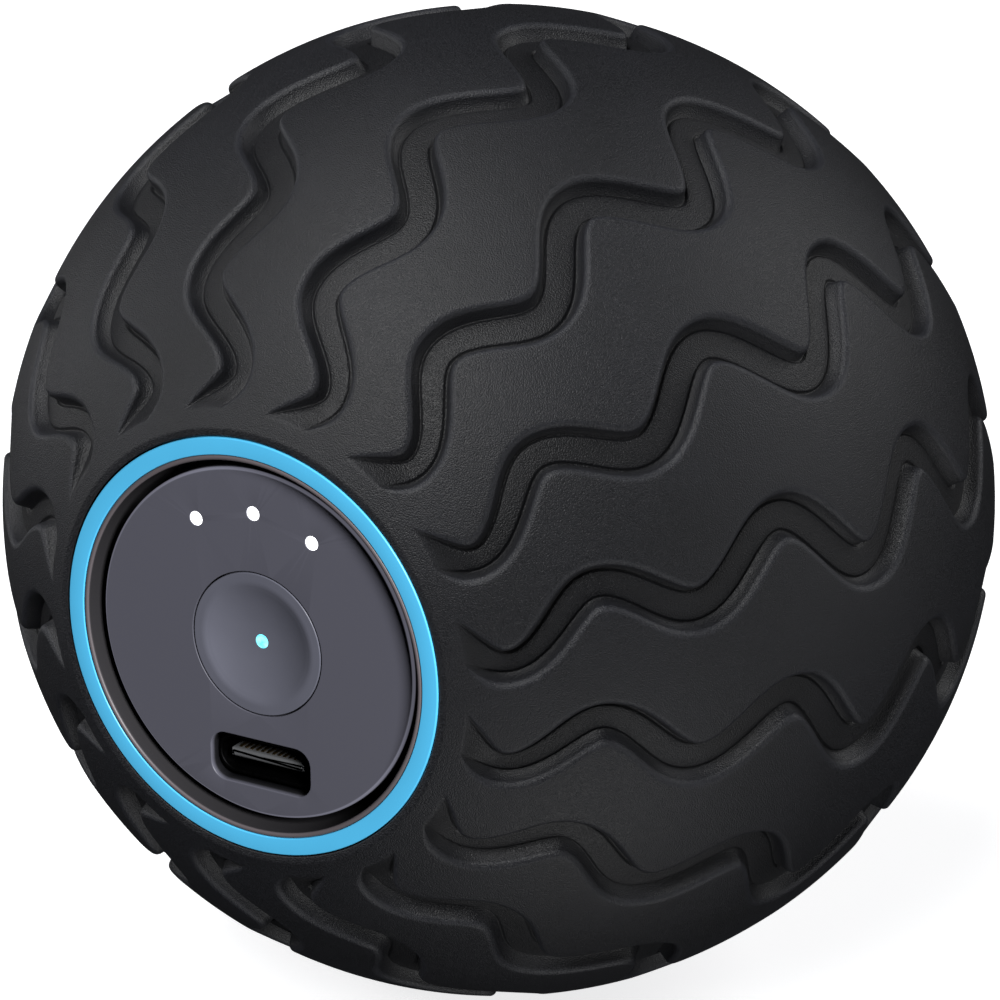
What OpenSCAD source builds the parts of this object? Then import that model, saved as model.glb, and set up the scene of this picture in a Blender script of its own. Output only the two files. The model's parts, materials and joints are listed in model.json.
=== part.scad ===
// Vibrating massage ball: a rigid two-part ball in a grooved silicone sleeve. A double-ended motor
// with an eccentric weight on each end of its shaft shakes the ball. The flat control cap at the
// front holds the power button, three level lights and the charging port.
//
// Every piece is drawn in the cap's frame: x to the right, y up and z out of the cap. facing() then
// turns that frame so that the cap looks along -Y and the ball's top is +Z. The origin is the
// centre of the ball.

/* [Ball] */
// Diameter over the silicone sleeve
ball_d = 80; // [79.8:0.1:80.2]
// Thickness of the silicone sleeve
sleeve_t = 3.4; // [3.3:0.05:3.45]
// Wall of the two rigid half shells
shell_t = 2.4; // [2.2:0.1:2.4]

/* [Grooves] */
// Number of wave grooves around the ball
groove_count = 16; // [15:1:17]
// Depth of the grooves
groove_depth = 1.3; // [1:0.1:1.5]
// Width that each rounded groove wall takes up on the surface
groove_wall = 0.75; // [0.6:0.05:0.9]
// Sharpness of the waves, from near 0 for a sine to near 1 for a zigzag
wave_sharpness = 0.35; // [0.1:0.01:0.9]
// How far the edges of the grooves keep to true parallels of their middle line
turn_rounding = 0.38; // [0:0.01:0.5]

/* [Control cap] */
// Radius of the cap's disc
cap_r = 13.95; // [13.85:0.05:14]
// Height of the cap's face above the ball's centre
cap_face = 35.07; // [35:0.01:35.1]
// Thickness of the cap's disc
cap_t = 1.6; // [1.5:0.05:1.6]
// Inner and outer radius of the accent ring, and the height of its face
ring_in = 15.27; // [15.26:0.01:15.3]
ring_out = 16.64; // [16.6:0.01:16.65]
ring_face = 36.08; // [36.05:0.01:36.1]
// Inner radius of the bezel, where the dark gap around the cap ends
bezel_in = 14.85; // [14.8:0.01:14.9]

/* [Button and lights] */
// Radius of the power button
button_r = 5.7; // [5.6:0.05:5.7]
// Radius and depth of the finger dish in the button
dish_r = 4.8; // [4.5:0.1:5]
dish_depth = 0.7; // [0.4:0.05:0.8]
// Radius of the small round light windows
light_r = 0.55; // [0.5:0.01:0.65]
// Radius on which the three level lights sit, and the angle between them
light_circle_r = 10.53; // [10.4:0.01:10.6]
light_pitch = 29.5; // [29:0.1:30]

/* [Charging port] */
// Width, height and corner radius of the port's cut-out in the cap
port_w = 9; // [9:0.05:9.2]
port_h = 3.9; // [3.6:0.05:4]
port_corner = 1.3; // [1.1:0.1:1.5]
// Distance from the button's centre down to the port's centre
port_drop = 9.87; // [9.85:0.01:9.9]

/* [Motor and weights] */
// Radius of the motor's can
motor_r = 12.2; // [12.1:0.05:12.2]
// Height of the motor's shaft above the ball's centre, towards the cap
motor_z = 10; // [9.9:0.1:10]
// Radius of the shaft
shaft_r = 1.15; // [1:0.05:1.15]
// Radius and length of each eccentric weight
weight_r = 11; // [9:0.5:11]
weight_len = 8; // [6:0.5:8]

/* [Battery] */
// Radius and length of the rechargeable cell
cell_r = 9; // [8.9:0.05:9]
cell_len = 50; // [49.5:0.1:50]
// Depth of the cell's axis behind the ball's centre
cell_z = -13.5; // [-13.5:0.05:-13.4]

/* [Hidden] */
$fn = 64;
ball_r = ball_d / 2;
sleeve_in_r = ball_r - sleeve_t;
shell_r = sleeve_in_r - 0.15;
shell_in_r = shell_r - shell_t;
fit = 0.02;                        // gap between pieces that are pressed or screwed together

// Groove turning points: [angle from the cap's axis, angle around it, width of the groove's floor].
// The first and last are the shallow ends of the groove, where its floor meets the surface.
TURNS = [
    [27.9, 12.6, 2.3], [32.3, 5.6, 2.1], [43, 16.6, 2.6], [53.8, 9.4, 2.9], [65.5, 17.2, 2.9],
    [77, 7.8, 3], [88, 17.4, 2.8], [98.8, 7.7, 2.9], [109.9, 17.1, 2.9], [121, 8.1, 2.9],
    [132.2, 16.7, 2.6], [143, 6, 2.1], [147.6, 12.6, 2.3]];
LAST_TURN = len(TURNS) - 1;
ROWS_PER_TURN = 3;
groove_pitch = 360 / groove_count;

opening_r = 16.75;                 // opening in the sleeve around the accent ring
lip_out_r = 17.35;                 // flat lip around that opening, and the bevel of its edge
lip_bevel = 0.12;
bezel_out = 16.66;
collar_in = 16.9;                  // collar of the front shell around the bezel
collar_out = 19.5;
bezel_back = 26.4;
flange_t = 1.2;
collar_back = bezel_back + flange_t;
ledge_in = 12.8;                   // ledge in the bezel that carries the cap and the board
ledge_back = 28.3;
ledge_front = 29.8;
bezel_screw_circle_r = 18.1;
BEZEL_SCREW_ANGLES = [90, 210, 330];

board_t = 1.2;
board_r = 14.4;
board_front = ledge_back;
board_back = board_front - board_t;
post_circle_r = 10.8;              // posts of the cap that the board is screwed to
POST_ANGLES = [25, 155, 205, 335];

cap_back = cap_face - cap_t;
button_hole_r = button_r + 0.13;
button_flange_r = 6.75;
guide_in = button_flange_r + 0.2;
lens_back = 32.34;
switch_size = 6.2;
switch_front = 31.7;
switch_floor = 28.9;
plunger_r = 1.6;
plunger_front = 32.2;
LIGHT_ANGLES = [90 - light_pitch, 90, 90 + light_pitch];

port_shell_w = 8.94;
port_shell_h = 3.26;
port_shell_t = 0.3;
port_shell_front = 34.2;
port_base_front = 30.2;
tongue_front = 34.1;
tongue_w = 6.69;
tongue_t = 0.7;
contact_pitch = 0.5;
contact_count = 12;

header_w = 6;
header_depth = 5;
header_t = 3.2;
header_y = 8.5;
lead_r = 0.62;
lead_bend = 1.2;                   // length of the curve at each bend, on either side
lead_spacing = 1.2;                // from the plug's middle to each lead
lead_z = board_back - header_t / 2 - 0.1;

boss_x = 20.5;                     // the four screws through the shells and the chassis
boss_r = 3.2;
plate_front = -2.9;
plate_back = -4.3;
shell_screw_seat = -9.3;
CORNERS = [[1, 1], [-1, 1], [-1, -1], [1, -1]];

damper_t = 0.8;
damper_in = motor_r + 0.05;
saddle_r = damper_in + damper_t + 0.05;
saddle_x = 11;
saddle_w = 6;
saddle_t = 1.8;
motor_post_y = 17.8;
can_front = 15.4;                  // closed end of the motor's can
can_open = -12.4;
bell_back = -15.4;
strap_head_r = 1.9;                // head of the screws that hold the straps down
magnet_r = 11.5;
core_r = 9.3;
weight_x = 17;

wrap_t = 0.1;
cell_seat_r = cell_r + wrap_t + 0.05;
pad_t = 0.75;
cell_saddle_x = 16;
cell_saddle_w = 5;
cell_post_y = 12.9;

// Routes of the four leads, by hand, from the plug to the battery tab or the motor terminal
battery_route = [[lead_spacing, 11.7, lead_z], [lead_spacing, 13.8, lead_z], [14, 14, 23.6],
    [20.6, 14, 19.5], [20.6, 14, -4], [25.9, 11.5, -10], [25.9, 1, -10]];
motor_route_a = [[-lead_spacing, -11.7, lead_z], [-lead_spacing, -13.8, lead_z], [-9, -14.2, 23.8],
    [-16.1, -14.4, 20.5], [-16.1, -14.4, 14.6], [-16.1, -10.3, 14.6]];
motor_route_b = [[lead_spacing, -11.7, lead_z], [lead_spacing, -13.4, lead_z], [lead_spacing, -15, 24.9],
    [-9, -15.9, 23.2], [-16.1, -16.2, 20], [-16.1, -16.2, 5.4], [-16.1, -10.3, 5.4]];

// ---- Helpers ----

module facing() {
    rotate([90, 0, 0]) children();
}

module rod(r, z0, z1) {
    translate([0, 0, z0]) cylinder(r = r, h = z1 - z0);
}

module tube(r_in, r_out, z0, z1) {
    difference() {
        rod(r_out, z0, z1);
        rod(r_in, z0 - 1, z1 + 1);
    }
}

// Part of a tube between two angles around z
module arc_tube(r_in, r_out, z0, z1, from, to) {
    rotate(from) rotate_extrude(angle = to - from) translate([r_in, z0]) square([r_out - r_in, z1 - z0]);
}

// Box given by its lowest and highest corner
module block(low, high) {
    translate(low) cube(high - low);
}

module around(r, angle) {
    rotate(angle) translate([r, 0, 0]) children();
}

// Turns a shape drawn along z so that it lies along x, on the axis at height z
module lying(z) {
    translate([0, 0, z]) rotate([0, 90, 0]) children();
}

// Self-tapping screw with a cross recess: its head's underside at z = 0, its shank towards +z
module screw(shank_r, length, head_r, head_t) {
    slot = 0.5;
    difference() {
        union() {
            rod(shank_r, 0, length);
            rod(head_r, -head_t, 0);
        }
        for (turn = [0, 90])
            rotate(turn)
                block([-head_r * 0.6, -slot / 2, -head_t - 1], [head_r * 0.6, slot / 2, -head_t / 2]);
    }
}

module rounded_rectangle(w, h, r) {
    square([w - 2 * r, h], center = true);
    square([w, h - 2 * r], center = true);
    for (c = CORNERS)
        translate([c[0] * (w / 2 - r), c[1] * (h / 2 - r)]) circle(r);
}

// The points of a route, with three points on the curve around each bend
function unit(v) = v / norm(v);
function rounded_route(points) = let (last = len(points) - 1) concat([points[0]],
    [for (i = [1 : last - 1])
        let (before = points[i] + unit(points[i - 1] - points[i]) * lead_bend,
            after = points[i] + unit(points[i + 1] - points[i]) * lead_bend)
        each [before, (before + 2 * points[i] + after) / 4, after]],
    [points[last]]);
function direction(points, i) = let (last = len(points) - 1)
    unit(unit(points[min(i + 1, last)] - points[min(i, last - 1)])
        + unit(points[max(i, 1)] - points[max(i, 1) - 1]));
// Sideways vector of each ring, carried along so that the lead doesn't twist
function sideways(points, i) = let (along = direction(points, i),
    guess = i == 0 ? (abs(along[2]) < 0.9 ? [0, 0, 1] : [1, 0, 0]) : sideways(points, i - 1))
    unit(guess - (guess * along) * along);

// Lead swept along a route, with eight sides
module lead(route) {
    sides = 8;
    points = rounded_route(route);
    last = len(points) - 1;
    rings = [for (i = [0 : last]) let (side = sideways(points, i), up = cross(direction(points, i), side))
        for (s = [0 : sides - 1]) let (turn = 360 * s / sides)
            points[i] + lead_r * (side * cos(turn) + up * sin(turn))];
    polyhedron(points = rings, faces = concat(
        [[for (s = [0 : sides - 1]) s]],
        [for (i = [0 : last - 1]) for (s = [0 : sides - 1])
            let (a = i * sides + s, b = i * sides + (s + 1) % sides)
            each [[a, a + sides, b + sides], [a, b + sides, b]]],
        [[for (s = [sides - 1 : -1 : 0]) last * sides + s]]));
}

// ---- Outside ----

// Rounded zigzag from 0 to 1 as t goes from 0 to 1; a groove's open ends run out straight
function wave(t, i) = i == 0 ? sin(90 * t) : i == LAST_TURN - 1 ? 1 - cos(90 * t)
    : 0.5 + asin(wave_sharpness * sin(180 * (t - 0.5))) / (2 * asin(wave_sharpness));
function clamp(v, low, high) = max(low, min(high, v));
function turn_before(a, i = 0) = i >= LAST_TURN - 1 || a < TURNS[i + 1][0] ? i : turn_before(a, i + 1);
function turn_share(a, i) = clamp((a - TURNS[i][0]) / (TURNS[i + 1][0] - TURNS[i][0]), 0, 1);
// Value number n of the turning points at angle a from the cap's axis
function along_groove(a, n) =
    let (i = turn_before(a)) TURNS[i][n] + (TURNS[i + 1][n] - TURNS[i][n]) * wave(turn_share(a, i), i);
// 0 at a groove's ends, rising to 1 at its first and last turn
function open_end(a) = min(turn_share(a, 0), 1 - turn_share(a, LAST_TURN - 1));
function depth_at(a) = groove_depth * sin(90 * open_end(a));
function around_axis(r, z, angle) = [r * cos(angle), r * sin(angle), z];
degree_per_mm = 180 / (PI * ball_r);
// Sideways run of the groove's middle line for each step along it
function slope_at(a) =
    let (low = max(a - 0.2, TURNS[0][0]), high = min(a + 0.2, TURNS[LAST_TURN][0]))
    low >= high ? 0 : (along_groove(high, 1) - along_groove(low, 1)) / (high - low) * sin(a);

// Point of the surface beside the groove's middle line: [angle from the axis, angle around it]
function beside(a, distance) =
    let (slope = slope_at(a), slant = sqrt(1 + slope * slope), rounding = turn_rounding * open_end(a))
    [a - rounding * distance * slope / slant * degree_per_mm,
        along_groove(a, 1) + distance * (1 + (1 - rounding) * slope * slope) / slant * degree_per_mm
            / sin(max(a, TURNS[0][0] - 3))];

// The points of one groove's lines at angle a: edge, foot, foot, edge, and the middle of the land
function groove_lines(a) =
    let (foot = along_groove(a, 2) / 2, edge = foot + groove_wall)
    [beside(a, -edge), beside(a, -foot), beside(a, foot), beside(a, edge),
        [a, along_groove(a, 1) + groove_pitch / 2]];

// One ring of points on a sphere; the two foot lines of each groove lie deeper
function surface_row(a) =
    let (lines = groove_lines(a))
    [for (g = [0 : groove_count - 1]) for (c = [0 : 4])
        let (r = ball_r - (c == 1 || c == 2 ? depth_at(a) : 0), from_axis = lines[c][0])
        around_axis(r * sin(from_axis), r * cos(from_axis), lines[c][1] + g * groove_pitch)];

// One plain ring of points at radius r and height z, on the same lines as the surface's
function plain_row(r, z, a) =
    let (lines = groove_lines(a))
    [for (g = [0 : groove_count - 1]) for (c = [0 : 4]) around_axis(r, z, lines[c][1] + g * groove_pitch)];

// The sleeve's opening has a straight wall, a small bevel and a flat lip that runs out onto the sphere
lip_z = sqrt(pow(ball_r, 2) - pow(lip_out_r, 2));
LIP = [[opening_r, lip_z - lip_bevel], [opening_r + lip_bevel, lip_z], [lip_out_r, lip_z]];

module silicone_sleeve() {
    inner_steps = 14;
    opening_a = asin(opening_r / sleeve_in_r);
    inner_step = (180 - opening_a) / inner_steps;
    inner_row_r = sleeve_in_r / cos(inner_step / 2);   // so that the flat facets stay clear of the shells
    inner_rows = [for (i = [1 : inner_steps])
        let (a = 180 - inner_step * i, r = i < inner_steps ? inner_row_r : sleeve_in_r)
        plain_row(r * sin(a), r * cos(a), TURNS[0][0])];
    lip_rows = [for (corner = LIP) plain_row(corner[0], corner[1], TURNS[0][0])];
    groove_rows = [for (i = [0 : LAST_TURN - 1]) for (s = [0 : ROWS_PER_TURN - 1])
        surface_row(TURNS[i][0] + (TURNS[i + 1][0] - TURNS[i][0]) * s / ROWS_PER_TURN)];
    rear_rows = [for (s = [0 : 4]) surface_row(TURNS[LAST_TURN][0] + (180 - TURNS[LAST_TURN][0]) * s / 5)];
    rows = concat(inner_rows, lip_rows, groove_rows, rear_rows);
    per_row = 5 * groove_count;
    inner_pole = len(rows) * per_row;
    color("#2a2b2d") facing() polyhedron(
        points = concat([for (row = rows) each row], [[0, 0, -inner_row_r], [0, 0, -ball_r]]),
        faces = concat(
            [for (j = [0 : per_row - 1]) [inner_pole, (j + 1) % per_row, j]],
            [for (i = [0 : len(rows) - 2]) for (j = [0 : per_row - 1]) for (half = [0, 1])
                let (a = i * per_row + j, b = i * per_row + (j + 1) % per_row)
                half == 0 ? [a, b, b + per_row] : [a, b + per_row, a + per_row]],
            [for (j = [0 : per_row - 1])
                let (last = (len(rows) - 1) * per_row)
                [inner_pole + 1, last + j, last + (j + 1) % per_row]]));
}

module accent_ring() {
    ring_t = 1.46;
    bevel = 0.08;
    color("#52bef0") facing() rotate_extrude() polygon([
        [ring_in, ring_face - ring_t], [ring_out, ring_face - ring_t], [ring_out, ring_face - bevel],
        [ring_out - bevel, ring_face], [ring_in + bevel, ring_face], [ring_in, ring_face - bevel]]);
}

module bezel() {
    seat = ring_face - 1.48;
    rim_t = ring_in - fit - bezel_in;
    color("#5b5a63") facing() difference() {
        union() {
            rotate_extrude() {
                translate([bezel_in, bezel_back]) square([bezel_out - bezel_in, seat - bezel_back]);
                translate([bezel_in, seat]) square([rim_t, ring_face - rim_t / 2 - seat]);
                translate([bezel_in + rim_t / 2, ring_face - rim_t / 2]) circle(rim_t / 2);
                translate([ledge_in, ledge_back])
                    square([bezel_in - ledge_in + 0.1, ledge_front - ledge_back]);
            }
            tube(bezel_in, collar_out, bezel_back, collar_back);
        }
        for (angle = BEZEL_SCREW_ANGLES)
            around(bezel_screw_circle_r, angle) rod(1.05, bezel_back - 1, collar_back + 1);
    }
}

module control_cap() {
    bevel = 0.35;
    skirt_in = 12.9;
    color("#54535c") facing() difference() {
        union() {
            rotate_extrude() polygon([
                [button_hole_r, cap_back], [cap_r, cap_back], [cap_r, cap_face - bevel],
                [cap_r - bevel, cap_face], [button_hole_r, cap_face]]);
            tube(skirt_in, cap_r, ledge_front + fit, cap_back + 0.1);
            tube(guide_in, guide_in + 0.95, 31.2, cap_back + 0.1);
            for (angle = POST_ANGLES)
                around(post_circle_r, angle) rod(1.7, board_front + fit, cap_back + 0.1);
        }
        for (angle = LIGHT_ANGLES)
            around(light_circle_r, angle) rod(light_r + fit, cap_back - 1, cap_face + 1);
        translate([0, -port_drop, cap_back - 1])
            linear_extrude(cap_t + 2) rounded_rectangle(port_w, port_h, port_corner);
        for (angle = POST_ANGLES)
            around(post_circle_r, angle) rod(1 + fit, board_front - 1, board_front + 4.2);
    }
}

module power_button() {
    dish_sphere_r = (dish_r * dish_r + dish_depth * dish_depth) / (2 * dish_depth);
    flange_front = cap_back - 0.1;
    color("#54535c") facing() difference() {
        union() {
            rod(button_r, 32.5, cap_face);
            rod(button_flange_r, 32.5, flange_front);
            rod(1.9, plunger_front + 0.12, 32.6);
        }
        translate([0, 0, cap_face - dish_depth + dish_sphere_r]) sphere(dish_sphere_r);
        rod(light_r + fit, 30, cap_face + 1);
    }
}

module button_lens() {
    color("#3fd0f2") facing() rod(light_r, lens_back, cap_face - dish_depth);
}

module led_light_guide() {
    color("#f4f8fa") facing() {
        arc_tube(9.7, 11.3, 32.35, cap_back - fit, 52, 128);
        for (angle = LIGHT_ANGLES)
            around(light_circle_r, angle) rod(light_r, 29.5, cap_face - fit);
    }
}

module led_baffle() {
    color("#17181a") facing() difference() {
        arc_tube(9.3, 11.8, board_front + fit, 32.3, 50, 130);
        for (angle = LIGHT_ANGLES)
            around(light_circle_r, angle) rod(0.95, board_front - 1, 33);
    }
}

// ---- Shells ----

module front_shell() {
    lip_in = 33;
    lip_out = shell_in_r - 0.2;
    embed_r = shell_r - 0.4;
    color("#3c3d40") facing() difference() {
        union() {
            intersection() {
                difference() {
                    sphere(shell_r);
                    sphere(shell_in_r);
                }
                rod(ball_r, 0, ball_r);
            }
            intersection() {
                tube(collar_in, collar_out, collar_back, ball_r);
                sphere(embed_r);
            }
            tube(lip_in, lip_out + 0.8, 0, 1.5);
            tube(lip_in, lip_out, -1.5, 0.1);
            intersection() {
                for (c = CORNERS)
                    translate([c[0] * boss_x, c[1] * boss_x]) rod(boss_r, plate_front, ball_r);
                sphere(embed_r);
            }
        }
        rod(collar_in, collar_back - 1, ball_r);
        for (angle = BEZEL_SCREW_ANGLES)
            around(bezel_screw_circle_r, angle) rod(1 + fit, collar_back - 1, bezel_back + 4.6);
        for (c = CORNERS)
            translate([c[0] * boss_x, c[1] * boss_x]) rod(1.25 + fit, plate_front - 1, 5);
    }
}

module rear_shell() {
    embed_r = shell_r - 0.4;
    color("#3c3d40") facing() difference() {
        union() {
            intersection() {
                difference() {
                    sphere(shell_r);
                    sphere(shell_in_r);
                }
                rod(ball_r, -ball_r, 0);
            }
            intersection() {
                for (c = CORNERS)
                    translate([c[0] * boss_x, c[1] * boss_x]) rod(boss_r + 0.2, -ball_r, plate_back);
                sphere(embed_r);
            }
        }
        tube(34.9, 35.6, -0.8, 1);
        for (c = CORNERS)
            translate([c[0] * boss_x, c[1] * boss_x]) {
                rod(1.35, shell_screw_seat - 1, 0);
                rod(2.45, -ball_r, shell_screw_seat);
            }
    }
}

module shell_seal() {
    color("#1d1e20") facing() tube(34.9 + fit, 35.6 - fit, -0.8 + fit, 0);
}

module shell_screws() {
    color("silver") facing() for (c = CORNERS)
        translate([c[0] * boss_x, c[1] * boss_x, shell_screw_seat]) screw(1.25, 14, 2.2, 1.8);
}

module bezel_screws() {
    color("silver") facing() for (angle = BEZEL_SCREW_ANGLES)
        around(bezel_screw_circle_r, angle) translate([0, 0, bezel_back]) screw(1, 4.5, 1.8, 1.2);
}

// ---- Board, switch and port ----

module main_board() {
    color("#16633f") facing() difference() {
        rod(board_r, board_back, board_front);
        for (angle = POST_ANGLES)
            around(post_circle_r, angle) rod(1.1, board_back - 1, board_front + 1);
    }
}

module board_screws() {
    color("silver") facing() for (angle = POST_ANGLES)
        around(post_circle_r, angle) translate([0, 0, board_back]) screw(1, 5.2, 1.9, 1.2);
}

module status_leds() {
    color("#f2efdc") facing() for (angle = LIGHT_ANGLES)
        around(light_circle_r, angle) block([-0.4, -0.8, board_front], [0.4, 0.8, board_front + 0.6]);
}

module switch_body() {
    half = switch_size / 2;
    color("#202124") facing() difference() {
        block([-half, -half, board_front], [half, half, switch_front]);
        rod(plunger_r + 0.05, switch_floor, switch_front + 1);
    }
}

module switch_dome() {
    color("silver") facing() rotate_extrude() polygon([
        [0, switch_floor + 0.15], [1.5, switch_floor + 0.01], [1.5, switch_floor + 0.09],
        [0, switch_floor + 0.25]]);
}

module switch_plunger() {
    color("#e6eef2") facing() rod(plunger_r, 29.5, plunger_front);
}

module port_shell() {
    wall = port_shell_t;
    color("#2b2c2f") facing() translate([0, -port_drop, board_front + fit])
        linear_extrude(port_shell_front - board_front - fit) difference() {
            rounded_rectangle(port_shell_w, port_shell_h, 1.6);
            rounded_rectangle(port_shell_w - 2 * wall, port_shell_h - 2 * wall, 1.3);
        }
}

module port_tongue() {
    gap = port_shell_t + fit;
    color("#1a1a1c") facing() translate([0, -port_drop, 0]) {
        translate([0, 0, board_front + fit])
            linear_extrude(port_base_front - board_front)
                rounded_rectangle(port_shell_w - 2 * gap, port_shell_h - 2 * gap, 1.28);
        block([-tongue_w / 2, -tongue_t / 2, port_base_front], [tongue_w / 2, tongue_t / 2, tongue_front]);
    }
}

module port_contacts() {
    contact_w = 0.25;
    contact_t = 0.06;
    first_x = -contact_pitch * (contact_count - 1) / 2;
    color("gold") facing() translate([0, -port_drop, 0])
        for (side = [0, 1]) rotate(side * 180)
            for (i = [0 : contact_count - 1]) translate([first_x + i * contact_pitch, tongue_t / 2, 0])
                block([-contact_w / 2, 0.005, 30.6], [contact_w / 2, contact_t, 33.7]);
}

module microcontroller() {
    color("#26272a") facing() block([-6.2, -3.6, board_back - 0.9], [-0.2, 2.4, board_back]);
}

module charge_controller() {
    color("#26272a") facing() block([1.4, -4.2, board_back - 1.4], [6.3, -0.3, board_back]);
}

module motor_driver() {
    color("#26272a") facing() block([1.8, 1.2, board_back - 1], [4.8, 4.2, board_back]);
}

module board_components() {
    color("#b59a6a") facing() {
        for (i = [0 : 4]) {
            block([-6.6 + i * 1.6, 3.4, board_back - 0.5], [-5.8 + i * 1.6, 5, board_back]);
            block([-6.4 + i * 1.6, -5.8, board_back - 0.5], [-5.6 + i * 1.6, -4.2, board_back]);
        }
        block([5.6, 1, board_back - 1.2], [8.1, 3.5, board_back]);
    }
}

// Two-pin socket on the back of the board, open towards +y
module header() {
    wall = 0.6;
    difference() {
        block([-header_w / 2, header_y - header_depth / 2, board_back - header_t],
            [header_w / 2, header_y + header_depth / 2, board_back]);
        block([-header_w / 2 + wall, header_y - header_depth / 2 + 0.8, board_back - header_t + wall],
            [header_w / 2 - wall, header_y + header_depth, board_back - wall]);
    }
}

module plug() {
    wall = 0.6 + fit;
    block([-header_w / 2 + wall, header_y - header_depth / 2 + 0.9, board_back - header_t + wall],
        [header_w / 2 - wall, 11.65, board_back - wall]);
}

module battery_header() {
    color("#e9e4d4") facing() header();
}

module battery_plug() {
    color("#f4f1e8") facing() plug();
}

module motor_header() {
    color("#e9e4d4") facing() rotate(180) header();
}

module motor_plug() {
    color("#f4f1e8") facing() rotate(180) plug();
}

module battery_lead_red() {
    color("#b3201c") facing() lead(battery_route);
}

module battery_lead_black() {
    color("#1b1b1d") facing() lead([for (p = battery_route) [-p[0], p[1], p[2]]]);
}

module motor_lead_red() {
    color("#b3201c") facing() lead(motor_route_a);
}

module motor_lead_black() {
    color("#1b1b1d") facing() lead(motor_route_b);
}

// ---- Chassis, clamps and battery ----

module chassis() {
    web = 2;
    plate_x = 18.6;
    plate_y = 20.4;
    color("#6d7075") facing() difference() {
        union() {
            block([-plate_x, -plate_y, plate_back], [plate_x, plate_y, plate_front]);
            for (c = CORNERS) {
                translate([c[0] * boss_x, c[1] * boss_x]) rod(3.1, plate_back, plate_front);
                scale([c[0], c[1], 1]) block([17, 17.4, plate_back], [boss_x, boss_x + 2.4, plate_front]);
            }
            for (side = [-1, 1]) {
                intersection() {
                    lying(motor_z) tube(saddle_r - 1, saddle_r + saddle_t,
                        side * saddle_x - saddle_w / 2, side * saddle_x + saddle_w / 2);
                    block([-20, -20, plate_back], [20, 20, motor_z]);
                }
                block([side * saddle_x - web / 2, -motor_post_y, plate_back],
                    [side * saddle_x + web / 2, motor_post_y, motor_z]);
                intersection() {
                    lying(cell_z) tube(cell_seat_r - 1, cell_seat_r + saddle_t,
                        side * cell_saddle_x - cell_saddle_w / 2, side * cell_saddle_x + cell_saddle_w / 2);
                    block([-20, -20, cell_z], [20, 20, plate_back + 0.8]);
                }
                block([side * cell_saddle_x - web / 2, -cell_post_y, cell_z],
                    [side * cell_saddle_x + web / 2, cell_post_y, plate_front - 0.5]);
                for (end = [-1, 1]) {
                    translate([side * saddle_x, end * motor_post_y]) rod(2.5, plate_back, motor_z);
                    translate([side * cell_saddle_x, end * cell_post_y]) rod(2.1, cell_z, plate_front - 0.5);
                }
            }
        }
        for (side = [-1, 1]) {
            lying(motor_z) rod(saddle_r, side * saddle_x - saddle_w, side * saddle_x + saddle_w);
            lying(cell_z) rod(cell_seat_r, side * cell_saddle_x - 8, side * cell_saddle_x + 8);
            for (end = [-1, 1]) {
                translate([side * saddle_x, end * motor_post_y]) rod(1 + fit, 4, motor_z + 1);
                translate([side * cell_saddle_x, end * cell_post_y]) rod(1 + fit, cell_z - 1, cell_z + 5.4);
            }
        }
        for (c = CORNERS)
            translate([c[0] * boss_x, c[1] * boss_x]) rod(1.35, plate_back - 1, plate_front + 1);
    }
}

// Half ring with two screw ears, over a cylinder along x; its flat side is at z = 0
module strap(seat_r, outer_r, width, post_y, ear_t) {
    difference() {
        union() {
            intersection() {
                lying(0) rod(outer_r, -width / 2, width / 2);
                block([-width, -outer_r - 1, 0], [width, outer_r + 1, outer_r + 1]);
            }
            block([-width / 2, -post_y - 2.2, 0], [width / 2, post_y + 2.2, ear_t]);
        }
        lying(0) rod(seat_r, -width, width);
        for (end = [-1, 1]) translate([0, end * post_y]) {
            rod(1.1, -1, ear_t + 1);
            rod(strap_head_r + 0.1, ear_t, outer_r);
        }
    }
}

module motor_clamps() {
    color("#6d7075") facing() for (side = [-1, 1])
        translate([side * saddle_x, 0, motor_z])
            strap(saddle_r, saddle_r + saddle_t, saddle_w, motor_post_y, 2.4);
}

module motor_clamp_screws() {
    color("silver") facing() for (side = [-1, 1]) for (end = [-1, 1])
        translate([side * saddle_x, end * motor_post_y, motor_z + 2.4]) mirror([0, 0, 1])
            screw(1, 7.8, strap_head_r, 1.2);
}

module motor_dampers() {
    color("#26272a") facing() for (side = [-1, 1])
        lying(motor_z) tube(damper_in, damper_in + damper_t,
            side * saddle_x - saddle_w / 2 + 0.2, side * saddle_x + saddle_w / 2 - 0.2);
}

module battery_clamps() {
    seat_r = cell_seat_r + pad_t + 0.05;
    color("#6d7075") facing() for (side = [-1, 1])
        translate([side * cell_saddle_x, 0, cell_z]) mirror([0, 0, 1])
            strap(seat_r, seat_r + saddle_t, cell_saddle_w, cell_post_y, 2);
}

module battery_clamp_screws() {
    color("silver") facing() for (side = [-1, 1]) for (end = [-1, 1])
        translate([side * cell_saddle_x, end * cell_post_y, cell_z - 2]) screw(1, 7.2, strap_head_r, 1.2);
}

module battery_pads() {
    color("#3a3b3d") facing() for (side = [-1, 1])
        lying(cell_z) arc_tube(cell_seat_r, cell_seat_r + pad_t, side * cell_saddle_x - 2,
            side * cell_saddle_x + 2, -60, 60);
}

module battery_cell() {
    terminal_t = 0.6;
    color("#8f9398") facing() lying(cell_z) {
        rod(cell_r, -cell_len / 2, cell_len / 2 - terminal_t);
        rod(2.8, cell_len / 2 - terminal_t - 0.1, cell_len / 2);
    }
}

module battery_wrap() {
    color("#2f6f4a") facing() lying(cell_z)
        tube(cell_r + fit, cell_r + wrap_t, -cell_len / 2, cell_len / 2 - 0.6);
}

module battery_washer() {
    color("white") facing() lying(cell_z) tube(3, 8.4, cell_len / 2 - 0.59, cell_len / 2 - 0.39);
}

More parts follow.
